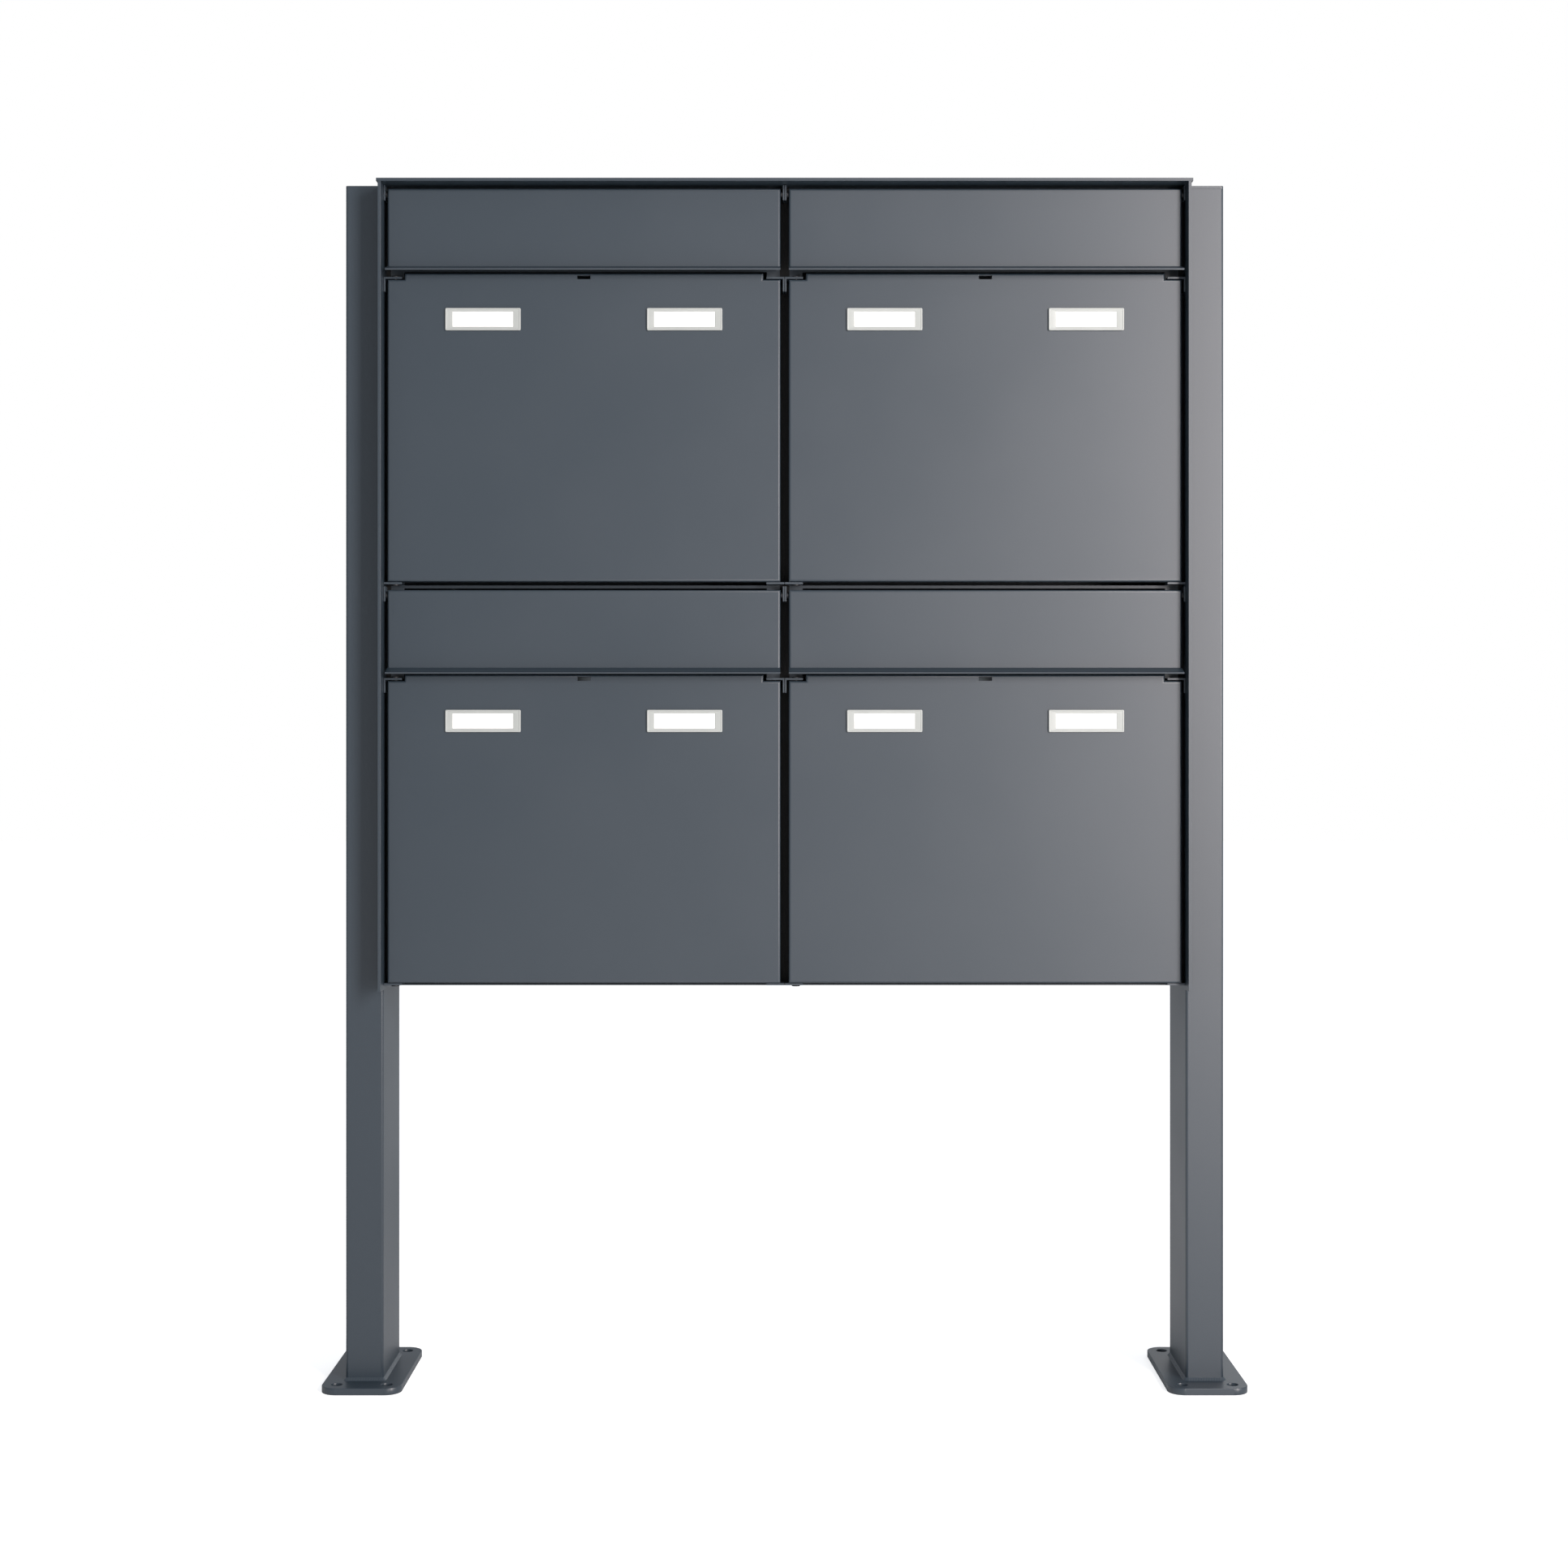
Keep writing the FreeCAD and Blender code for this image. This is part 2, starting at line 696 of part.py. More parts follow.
def case_nut(point, axis):
    """Hexagon nut on the far side of two shell walls."""
    x, depth, z = point
    start = world(x, depth, z).add(axis * sheet)
    nut = hexagon(nut_across, tuple(start), axis, nut_thickness)
    return nut.cut(rod(screw_radius + fixed_clearance, tuple(start), axis, nut_thickness))


def screw_hole(point, axis):
    """Clearance hole through the shell walls on both sides of a screw's point."""
    x, depth, z = point
    start = world(x, depth, z).sub(axis * sheet)
    return rod(screw_radius + bolt_hole_clearance, tuple(start), axis, 2 * sheet)


def shell_holes():
    """Every fastener hole in the module shells."""
    holes = [screw_hole(point, X_AXIS) for point in sideways_screw_points()]
    holes += [screw_hole(point, Z_AXIS) for point in stacked_screw_points()]
    roof_holes = [unit_rod(screw_radius + bolt_hole_clearance, x, depth, z - sheet, Z_AXIS, sheet)
                  for x, depth, z in roof_screw_points()]
    post_holes = across_panel(bolt_radius + bolt_hole_clearance, module_span_x / 2 - sheet, sheet)
    return holes + roof_holes + mirrored_pairs(post_holes)


down = V(0, 0, -1)
case_screws = [screw(point, X_AXIS, screw_length) for point in sideways_screw_points()]
case_screws += [screw(point, down, screw_length) for point in stacked_screw_points()]
case_nuts = [case_nut(point, X_AXIS) for point in sideways_screw_points()]
case_nuts += [case_nut(point, down) for point in stacked_screw_points()]
roof_screws = [screw(point, Z_AXIS, sheet + roof_hole_depth) for point in roof_screw_points()]

# ================================================================ all nodes
nodes = {
    "roof_plate": roof_plate(),
    "panel_bolts": group(mirrored_pairs([panel_bolt(z) for z in bolt_points()])),
    "rivet_nuts": group(mirrored_pairs([rivet_nut(z) for z in bolt_points()])),
    "case_screws": group(case_screws),
    "case_nuts": group(case_nuts),
    "roof_screws": group(roof_screws),
    "weld_beads": group(mirrored_pairs([weld_bead()])),
}
for name, shape in (("post", post()), ("post_cap", post_cap()), ("foot_plate", foot_plate()),
                    ("side_panel", side_panel())):
    nodes[name + "_right"] = shape
    nodes[name + "_left"] = mirror_unit(shape)

bumpers = []
for column, column_name in enumerate(columns):
    for row, row_name in enumerate(rows):
        x, z = module_origin(column, row)
        cell = V(x, door_plane_y, z)
        for name, shape in module_parts.items():
            nodes[f"{name}_{row_name}_{column_name}"] = shape.translated(cell)
        bumpers += [bumper.translated(cell) for bumper in module_bumpers()]
nodes["rubber_bumpers"] = group(bumpers)

for name, shape in nodes.items():
    if name.startswith("body_shell"):
        nodes[name] = drilled(shape, shell_holes())

os.makedirs("parts", exist_ok=True)
for name, shape in nodes.items():
    if not shape.isValid():
        print("not valid:", name)
    shape.exportStep(f"parts/{name}.step")

whole = Part.makeCompound(list(nodes.values())).BoundBox
print(len(nodes), "nodes")
print(f"x {whole.XMin:.1f} to {whole.XMax:.1f}")
print(f"y {whole.YMin:.1f} to {whole.YMax:.1f}")
print(f"z {whole.ZMin:.1f} to {whole.ZMax:.1f}")
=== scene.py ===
# %% [markdown]
# # A cluster mailbox unit, dressed for the studio
#
# Four letterboxes sit between two posts. Every box has a mail flap, and under it a door with two
# name plates. The engineering model already holds the sheets, hinges, locks and screws at their
# true size, so this script never moves one of them. It gives each a finish, rounds its edges, and
# builds the small things that a plain solid can't show: moulded name holders, their clear
# windows, a rippled weld, and screws with a real drive and thread.
#
# The first step loads that model.

# %% Load the engineering model
import math
from functools import partial

import bmesh
import bpy
from mathutils import Matrix, Vector


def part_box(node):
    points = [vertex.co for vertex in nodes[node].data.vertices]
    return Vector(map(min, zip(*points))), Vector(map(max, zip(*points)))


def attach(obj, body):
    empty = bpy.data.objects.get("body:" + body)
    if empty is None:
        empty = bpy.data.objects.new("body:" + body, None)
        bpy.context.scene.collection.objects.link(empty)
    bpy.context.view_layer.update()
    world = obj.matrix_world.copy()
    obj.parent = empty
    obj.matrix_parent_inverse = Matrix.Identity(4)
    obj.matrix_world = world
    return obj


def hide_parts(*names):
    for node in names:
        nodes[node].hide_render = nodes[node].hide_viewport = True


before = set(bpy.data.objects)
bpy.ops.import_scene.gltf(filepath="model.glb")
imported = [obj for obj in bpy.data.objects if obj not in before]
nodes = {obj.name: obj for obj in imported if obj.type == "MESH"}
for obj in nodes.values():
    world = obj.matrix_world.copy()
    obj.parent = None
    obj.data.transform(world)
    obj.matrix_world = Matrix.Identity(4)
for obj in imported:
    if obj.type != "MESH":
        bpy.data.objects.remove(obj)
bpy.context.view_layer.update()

mm = 0.001

# %% [markdown]
# ## Colours and shader nodes
#
# Colours are written as the hex values that a paint chart gives. Blender's shaders count in linear
# light, so one function converts them. Typing linear numbers by hand would work too, but nobody
# can read those.
#
# A shader is a graph of nodes. One short function adds a node of any kind, sets its values and
# wires it to earlier nodes. With it a material reads from top to bottom like a recipe.

# %% Helpers for colours and shader nodes
def linear(hex_colour):
    """Linear red, green, blue and alpha of an sRGB colour such as "#38414A"."""
    channels = [int(hex_colour[i:i + 2], 16) / 255 for i in (1, 3, 5)]
    return [c / 12.92 if c <= 0.04045 else ((c + 0.055) / 1.055) ** 2.4 for c in channels] + [1.0]


def add(material, kind, inputs=(), **settings):
    """Add a shader node. An input is a number or colour, or (node, output name) for a wire."""
    tree = material.node_tree
    node = tree.nodes.new(kind)
    for name, value in settings.items():
        setattr(node, name, value)
    for name, value in dict(inputs).items():
        if isinstance(value, tuple):
            tree.links.new(value[0].outputs[value[1]], node.inputs[name])
        else:
            node.inputs[name].default_value = value
    return node


def start_material(name):
    """An empty material, and a node that gives places on the piece in metres."""
    material = bpy.data.materials.new(name)
    material.use_nodes = True
    material.node_tree.nodes.clear()
    return material, add(material, "ShaderNodeTexCoord")


def finish_material(material, inputs):
    """Close a material with its principled shader and its output."""
    shader = add(material, "ShaderNodeBsdfPrincipled", inputs)
    add(material, "ShaderNodeOutputMaterial", {"Surface": (shader, "BSDF")})
    print("material", material.name, len(material.node_tree.nodes), "nodes")
    return material


def per_metre(size_mm):
    """Texture scale that gives a pattern its real size in millimetres."""
    return 1 / (size_mm * mm)


# %% [markdown]
# ## Camera
#
# The unit is seen straight on, from a little below hip height and three steps away, so the sides
# of the posts and the tops of the foot plates just show. The camera stays level, which keeps the
# posts parallel. A vertical shift of the sensor frames the unit, as an architect's lens does,
# where tilting the camera would make the posts lean together.

# %% Camera
camera_data = bpy.data.cameras.new("camera")
camera_data.sensor_width = 36
camera_data.lens = 54.25
camera_data.shift_x = -0.0004
camera_data.shift_y = -0.0320
camera_data.clip_end = 100
camera = bpy.data.objects.new("camera", camera_data)
camera.location = (0, -2.4215, 0.6565)
camera.rotation_euler = (math.radians(90), 0, 0)
bpy.context.collection.objects.link(camera)
bpy.context.scene.camera = camera
print("camera", [round(v, 3) for v in camera.location])

# %% [markdown]
# ## Studio
#
# A grey tent lights the unit evenly: that is the world colour. One tall, narrow soft box stands to
# the right of the camera and gives the satin coat its slow gradient from left to right. A weak one
# behind lifts the back, and the inner side of the left post, out of the dark.
#
# The unit should stand before white, but a white tent would wash the gradient out. So the camera
# sees white where the tent is, and the floor has a glow that only the camera meets. Neither throws
# light on the unit. Under the foot plates lies a sheet without that glow, because their bolt holes
# have to look dark. The view transform is Standard, which doesn't compress bright tones.

# %% Floor, tent and soft box
bpy.context.scene.view_settings.view_transform = "Standard"

tent_light = 0.45
floor_glow = 0.66
seen_white = linear("#FFFFFF")


def seen_glow(place, strength):
    """White light that only camera rays meet."""
    ray = add(place, "ShaderNodeLightPath")
    shown = add(place, "ShaderNodeMath", {0: (ray, "Is Camera Ray"), 1: strength},
                operation="MULTIPLY")
    return add(place, "ShaderNodeEmission", {"Color": seen_white, "Strength": (shown, "Value")})


world = bpy.data.worlds.new("grey_tent")
world.use_nodes = True
world.node_tree.nodes.clear()
tent = add(world, "ShaderNodeBackground", {"Color": linear("#F2F7FF"), "Strength": tent_light})
backdrop = add(world, "ShaderNodeBackground", {"Color": seen_white, "Strength": 1.0})
ray = add(world, "ShaderNodeLightPath")
either = add(world, "ShaderNodeMixShader", {0: (ray, "Is Camera Ray"), 1: (tent, "Background"),
                                            2: (backdrop, "Background")})
add(world, "ShaderNodeOutputWorld", {"Surface": (either, "Shader")})
bpy.context.scene.world = world


def soft_box(name, location, target, width, height, power, colour):
    """A rectangular area light aimed at a point."""
    light = bpy.data.lights.new(name, "AREA")
    light.color = linear(colour)[:3]
    light.shape = "RECTANGLE"
    light.size = width
    light.size_y = height
    light.energy = power
    lamp = bpy.data.objects.new(name, light)
    lamp.location = location
    lamp.rotation_euler = (Vector(target) - Vector(location)).to_track_quat("-Z", "Y").to_euler()
    bpy.context.collection.objects.link(lamp)
    return lamp


soft_box("soft_box_right", location=(1.9, -3.0, 1.4), target=(0.3, 0, 0.9), width=0.8, height=2.4,
         power=150, colour="#FFF5F2")
soft_box("soft_box_behind", location=(1.6, 3.0, 2.0), target=(0, 0, 0.6), width=1.6, height=1.6,
         power=12, colour="#FFFFFF")


def pale_paper(name, glow_strength):
    """A matt pale sheet, with as much of the camera's glow as asked."""
    material, _ = start_material(name)
    paper = add(material, "ShaderNodeBsdfDiffuse", {"Color": linear("#F6F6F5")})
    glow = seen_glow(material, glow_strength)
    both = add(material, "ShaderNodeAddShader", {0: (paper, "BSDF"), 1: (glow, "Emission")})
    add(material, "ShaderNodeOutputMaterial", {"Surface": (both, "Shader")})
    return material


def lay_sheet(name, low, high, height, material):
    """A level rectangle that belongs to the studio."""
    mesh = bpy.data.meshes.new(name)
    corners = [(low[0], low[1], height), (high[0], low[1], height),
               (high[0], high[1], height), (low[0], high[1], height)]
    mesh.from_pydata(corners, [], [(0, 1, 2, 3)])
    mesh.materials.append(material)
    sheet = bpy.data.objects.new(name, mesh)
    bpy.context.collection.objects.link(sheet)


floor_half = 12
inside_plate = Vector((5, 5, 0)) * mm
above_floor = 0.1 * mm
lay_sheet("floor", (-floor_half, -floor_half), (floor_half, floor_half), 0,
          pale_paper("pale_floor", floor_glow))
dark_paper = pale_paper("floor_in_the_dark", 0)
for side in ("left", "right"):
    low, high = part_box(f"foot_plate_{side}")
    lay_sheet(f"floor_under_{side}_foot", low + inside_plate, high - inside_plate, above_floor,
              dark_paper)

# %% [markdown]
# ## Powder coat
#
# All sheet metal and both posts are coated in anthracite grey polyester powder, baked on. Melted
# powder never flows quite flat: it leaves an orange peel with waves of about two millimetres, and
# a satin gloss that blurs reflections into broad soft tones. The peel is a noise that feeds a
# bump. A second, much larger noise moves the roughness a little, because the film is never equally
# thick.

# %% Anthracite powder coat
peel_wave_mm = 2.2
peel_height_mm = 0.012
film_wave_mm = 140
fleck_mm = 0.9
coat_gloss = 0.9


def coat_layers(material, place):
    """The colour with its fine flecks, and the orange peel, of the powder coat."""
    peel = add(material, "ShaderNodeTexNoise",
               {"Vector": (place, "Object"), "Scale": per_metre(peel_wave_mm), "Detail": 1.5})
    fleck = add(material, "ShaderNodeTexNoise",
                {"Vector": (place, "Object"), "Scale": per_metre(fleck_mm), "Detail": 2.0})
    tone = add(material, "ShaderNodeMixRGB",
               {"Fac": (fleck, "Fac"), "Color1": linear("#29353E"), "Color2": linear("#2D3943")})
    skin = add(material, "ShaderNodeBump",
               {"Height": (peel, "Fac"), "Strength": 1.0, "Distance": peel_height_mm * mm})
    return tone, skin


powder_coat, place = start_material("anthracite_powder_coat")
tone, skin = coat_layers(powder_coat, place)
film = add(powder_coat, "ShaderNodeTexNoise",
           {"Vector": (place, "Object"), "Scale": per_metre(film_wave_mm), "Detail": 2.0})
gloss = add(powder_coat, "ShaderNodeMapRange",
            {"Value": (film, "Fac"), "From Min": 0.3, "From Max": 0.7,
             "To Min": 0.38, "To Max": 0.42})
finish_material(powder_coat, {"Base Color": (tone, "Color"), "Roughness": (gloss, "Result"),
                              "Normal": (skin, "Normal"), "Specular IOR Level": coat_gloss})

# %% Give the coat to its sheets
coated = ["roof_plate", "side_panel", "post", "post_cap", "foot_plate", "weld_beads",
          "body_shell", "front_frame", "mail_flap", "door"]


def nodes_of(kind):
    """The CAD nodes of one kind: the kind's own name, or that name with its place after it."""
    places = ("left", "right", "lower_left", "lower_right", "upper_left", "upper_right")
    return [nodes[n] for n in [kind] + [f"{kind}_{p}" for p in places] if n in nodes]


def dress(kinds, material):
    """Put a material in the slot of every CAD node of these kinds."""
    for kind in kinds:
        for node in nodes_of(kind):
            node.material_slots[0].material = material


dress(coated, powder_coat)

# %% [markdown]
# ## The coat in the gaps
#
# At the bottom of the gaps beside the doors the coat carries painted shade, near black and dull.
# How dark it is there is a guess: dark enough that the gaps look black. The front frames get the
# same coat, but with a strip of that painted shade: a mask that is on near the seam between two
# boxes and deep inside.

# %% Powder coat with painted shade in the gaps
gap_shaded_frame_coat, place = start_material("anthracite_coat_painted_gap_shade")
module_mm = 400
gap_half_mm = 4.8
gap_floor_y_mm = -52
gap_fade_mm = 2

tone, skin = coat_layers(gap_shaded_frame_coat, place)
axes = add(gap_shaded_frame_coat, "ShaderNodeSeparateXYZ", {"Vector": (place, "Object")})
from_seam = add(gap_shaded_frame_coat, "ShaderNodeMath", {0: (axes, "X"), 1: module_mm / 2 * mm},
                operation="PINGPONG")
beside = add(gap_shaded_frame_coat, "ShaderNodeMath", {0: (from_seam, "Value"), 1: gap_half_mm * mm},
             operation="LESS_THAN")
deep = add(gap_shaded_frame_coat, "ShaderNodeMapRange",
           {"Value": (axes, "Y"), "From Min": (gap_floor_y_mm - gap_fade_mm) * mm,
            "From Max": gap_floor_y_mm * mm})
# Mask of the painted shade: on beside a seam between two boxes and deep in the gap.
gap_shade_mask = add(gap_shaded_frame_coat, "ShaderNodeMath", {0: (beside, "Value"), 1: (deep, "Result")},
           operation="MULTIPLY")
# Painted shade: where the mask is on, the coat turns near black and dull.
shade = add(gap_shaded_frame_coat, "ShaderNodeMixRGB",
            {"Fac": (gap_shade_mask, "Value"), "Color1": (tone, "Color"), "Color2": linear("#08090A")})
gloss = add(gap_shaded_frame_coat, "ShaderNodeMapRange",
            {"Value": (gap_shade_mask, "Value"), "To Min": 0.40, "To Max": 0.9})
finish_material(gap_shaded_frame_coat, {"Base Color": (shade, "Color"), "Roughness": (gloss, "Result"),
                             "Normal": (skin, "Normal"), "Specular IOR Level": coat_gloss})
dress(["front_frame"], gap_shaded_frame_coat)

# %% [markdown]
# ## Rounded edges
#
# A laser or a shear leaves a sharp edge, but the coat melts round it, so a real edge shines as a
# fine line. The engineering model has knife edges there. A bevel modifier rounds them without
# touching the mesh: it acts only where two faces meet at a clear angle. The model's faces come
# apart at their edges, so a weld modifier joins them first. A pierced sheet also comes cut into
# long thin triangles that run from hole to hole, and a bevel folds over on those, so a planar
# decimate joins each flat into a few large faces before it. The other way, cutting each edge by
# hand, would have to be done again after every change of the model.

# %% Round the edges of the CAD parts
edge_round_mm = {
    "roof_plate": 0.4, "side_panel": 0.4, "post": 0.3, "post_cap": 0.6, "foot_plate": 0.6,
    "body_shell": 0.5, "front_frame": 0.25, "mail_flap": 0.2, "door": 0.2, "door_catch": 0.5,
    "lock_case": 0.4, "lock_plug": 0.25, "lock_cam": 0.3, "hinge_pins": 0.2, "rubber_bumpers": 0.8,
    "name_cards": 0.05, "rivet_nuts": 0.2,
}
touching_mm = 0.001
clear_angle = math.radians(35)
flat_angle = math.radians(0.5)
pierced = ["side_panel", "post", "foot_plate", "body_shell", "front_frame", "mail_flap", "door"]


def round_edges(node, radius_mm, is_pierced):
    """Join a node's faces and round its sharp edges, all as modifiers."""
    weld = node.modifiers.new("join_faces", "WELD")
    weld.merge_threshold = touching_mm * mm
    if is_pierced:
        flats = node.modifiers.new("join_flats", "DECIMATE")
        flats.decimate_type = "DISSOLVE"
        flats.angle_limit = flat_angle
    bevel = node.modifiers.new("round_edges", "BEVEL")
    bevel.width = radius_mm * mm
    bevel.segments = 2
    bevel.limit_method = "ANGLE"
    bevel.angle_limit = clear_angle
    bevel.harden_normals = True


for kind, radius_mm in edge_round_mm.items():
    for node in nodes_of(kind):
        round_edges(node, radius_mm, kind in pierced)
print("rounded", sum(len(nodes_of(kind)) for kind in edge_round_mm), "parts")

# %% [markdown]
# ## Where the small parts sit
#
# Screws that are alike share one part of the model. To put a detailed screw in the place of each,
# the script needs every solid's own place. It walks from corner to corner along the edges, and
# each set of corners that hang together is one solid.

# %% Find the single solids of a part
def solids_in(name):
    """The corners of every separate solid in a CAD node, sorted by place."""
    shape = bmesh.new()
    shape.from_mesh(nodes[name].data)
    bmesh.ops.remove_doubles(shape, verts=shape.verts, dist=touching_mm * mm)
    waiting = set(shape.verts)
    solids = []
    while waiting:
        found = [waiting.pop()]
        for corner in found:
            for edge in corner.link_edges:
                other = edge.other_vert(corner)
                if other in waiting:
                    waiting.remove(other)
                    found.append(other)
        solids.append([corner.co.copy() for corner in found])
    shape.free()
    return sorted(solids, key=lambda points: [round(value, 4) for value in middle_of(points)])


def corners_of(points):
    """Lowest and highest corner of a set of points."""
    return Vector(map(min, zip(*points))), Vector(map(max, zip(*points)))


def middle_of(points):
    """Middle of the box round a set of points."""
    low, high = corners_of(points)
    return (low + high) / 2


print("panel bolts", len(solids_in("panel_bolts")))
print("name holders on a door", len(solids_in("name_holders_upper_left")))

# %% [markdown]
# ## Turned and forged pieces as stacks of rings
#
# A screw is round almost everywhere, with a hexagon or a cross pressed into its head. Boolean cuts
# could make that, but they leave long thin faces. Here a piece is a stack of rings of points, each
# with its own height and its own outline, and neighbouring rings are joined by a skin. A ring that
# is a circle can be followed by one that is a hexagon, because both have the same number of
# points.

# %% Ring outlines and the skin between them
ring_points = 48


def circle(radius_mm):
    """Outline of a round ring."""
    return lambda angle: radius_mm


def hexagon(across_mm, most_mm=math.inf):
    """Outline of a hexagon by its width across the flats, cut by a circle at its corners."""
    def reach(angle):
        off_flat = (angle + math.pi / 6) % (math.pi / 3) - math.pi / 6
        return min(across_mm / 2 / math.cos(off_flat), most_mm)
    return reach


def cross(length_mm, width_mm):
    """Outline of a cross recess."""
    def reach(angle):
        off_arm = abs((angle + math.pi / 4) % (math.pi / 2) - math.pi / 4)
        return min(length_mm / 2 / math.cos(off_arm), width_mm / 2 / max(math.sin(off_arm), 0.01))
    return reach


def skin_loops(shape, loops, closed):
    """Join loops of points with four-sided faces, and cap both ends unless the skin is closed."""
    rings = [[shape.verts.new(point) for point in loop] for loop in loops]
    pairs = list(zip(rings, rings[1:] + rings[:1])) if closed else list(zip(rings, rings[1:]))
    for low, high in pairs:
        for k in range(len(low)):
            after = (k + 1) % len(low)
            shape.faces.new((low[k], low[after], high[after], high[k]))
    if not closed:
        shape.faces.new(list(reversed(rings[0])))
        shape.faces.new(rings[-1])


def stack_rings(shape, place, rings, closed=False):
    """Skin a stack of rings, each (height in mm, outline), in the frame of a placing matrix."""
    angles = [2 * math.pi * k / ring_points for k in range(ring_points)]
    loops = [[place @ (Vector((reach(a) * math.cos(a), reach(a) * math.sin(a), height)) * mm)
              for a in angles] for height, reach in rings]
    skin_loops(shape, loops, closed)


def finish_piece(name, shape, material, body, replaced=(), smooth_angle=40):
    """Turn a bmesh into an object that rides on a body and stands for CAD nodes."""
    bmesh.ops.remove_doubles(shape, verts=shape.verts, dist=touching_mm * mm)
    bmesh.ops.recalc_face_normals(shape, faces=shape.faces)
    for face in shape.faces:
        face.smooth = True
    for edge in shape.edges:
        is_inner = len(edge.link_faces) == 2
        edge.smooth = is_inner and edge.calc_face_angle(0) < math.radians(smooth_angle)
    mesh = bpy.data.meshes.new(name)
    shape.to_mesh(mesh)
    shape.free()
    mesh.materials.append(material)
    piece = bpy.data.objects.new(name, mesh)
    bpy.context.collection.objects.link(piece)
    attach(piece, body)
    if replaced:
        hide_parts(*replaced)
    level = piece.modifiers.new("level_flats", "WEIGHTED_NORMAL")
    level.keep_sharp = True
    print("piece", name, len(mesh.polygons), "faces")
    return piece


# %% [markdown]
# ## Zinc plate
#
# Bolts, nuts, pins, cams and catches are steel with an electroplated zinc layer of about eight
# microns. It is a metal, so its colour sits in the reflection: a cool light grey, a little cloudy
# where the bath was stirred unevenly. Fine scratches from the tumbling drum break up its shine.
# The hinge pins show in the gaps beside the doors, so theirs is the black zinc: the same layer
# under a dark conversion film, which is no bare metal to the eye and keeps the gaps quiet.

# %% Bright zinc plate
zinc_plate, place = start_material("bright_zinc_plate")
cloud_mm = 6
scratch_mm = 0.35
cloud = add(zinc_plate, "ShaderNodeTexNoise",
            {"Vector": (place, "Object"), "Scale": per_metre(cloud_mm), "Detail": 3.0})
scratch = add(zinc_plate, "ShaderNodeTexNoise",
              {"Vector": (place, "Object"), "Scale": per_metre(scratch_mm), "Detail": 2.0})
tone = add(zinc_plate, "ShaderNodeMixRGB",
           {"Fac": (cloud, "Fac"), "Color1": linear("#B9C0C6"), "Color2": linear("#D2D4D1")})
gloss = add(zinc_plate, "ShaderNodeMapRange",
            {"Value": (cloud, "Fac"), "To Min": 0.24, "To Max": 0.38})
skin = add(zinc_plate, "ShaderNodeBump", {"Height": (scratch, "Fac"), "Distance": 0.006 * mm})
finish_material(zinc_plate, {"Base Color": (tone, "Color"), "Metallic": 1.0,
                             "Roughness": (gloss, "Result"), "Normal": (skin, "Normal")})
dress(["door_catch", "lock_cam", "rivet_nuts"], zinc_plate)

# %% Black zinc plate
black_zinc, place = start_material("black_zinc_plate")
haze = add(black_zinc, "ShaderNodeTexNoise",
           {"Vector": (place, "Object"), "Scale": per_metre(cloud_mm), "Detail": 3.0})
tone = add(black_zinc, "ShaderNodeMixRGB",
           {"Fac": (haze, "Fac"), "Color1": linear("#141619"), "Color2": linear("#202327")})
gloss = add(black_zinc, "ShaderNodeMapRange",
            {"Value": (haze, "Fac"), "To Min": 0.42, "To Max": 0.55})
skin = add(black_zinc, "ShaderNodeBump", {"Height": (haze, "Fac"), "Distance": 0.004 * mm})
finish_material(black_zinc, {"Base Color": (tone, "Color"), "Roughness": (gloss, "Result"),
                             "Normal": (skin, "Normal")})
dress(["hinge_pins"], black_zinc)

# %% [markdown]
# ## Screws, bolts and nuts
#
# Three kinds of screw hold the case together: button-head bolts with a hexagon socket go through
# the case into the posts, and pan-head screws with a cross recess join box to box and box to roof.
# Each sits where the model's plain one does, and points the same way. The head's dome is three
# rings of a flat arc, the drive is a ring of another outline that drops inside, and the thread is
# a row of V-grooves at the true pitch. A real thread is a helix, but at this size nobody can tell
# it from rings.

# %% Build the screws
def line_of(points):
    """Where a headed fastener sits: the top of its head, its direction and its length in mm."""
    low, high = corners_of(points)
    sides = high - low
    axis = min(range(3), key=lambda k: abs(sides[k - 1] - sides[k - 2]))
    centre = (low + high) / 2
    widest = max(points, key=lambda p: sum((p[k] - centre[k]) ** 2 for k in range(3) if k != axis))
    head_low = widest[axis] < centre[axis]
    top = centre.copy()
    top[axis] = low[axis] if head_low else high[axis]
    direction = Vector([int(k == axis) * (1 if head_low else -1) for k in range(3)])
    return top, direction, sides[axis] / mm


def facing(point, direction):
    """Matrix that puts a piece's origin at a point and its Z axis along a direction."""
    return Matrix.Translation(point) @ direction.to_track_quat("Z", "X").to_matrix().to_4x4()


dome_share = 0.55
dome_top_share = 0.62
dome_steps = 4
drive_taper = 0.92
drive_tip_mm = 0.4
drive_point_mm = 0.3
drive_lip_mm = 0.12
head_edge_mm = 0.15
thread_depth_share = 0.61


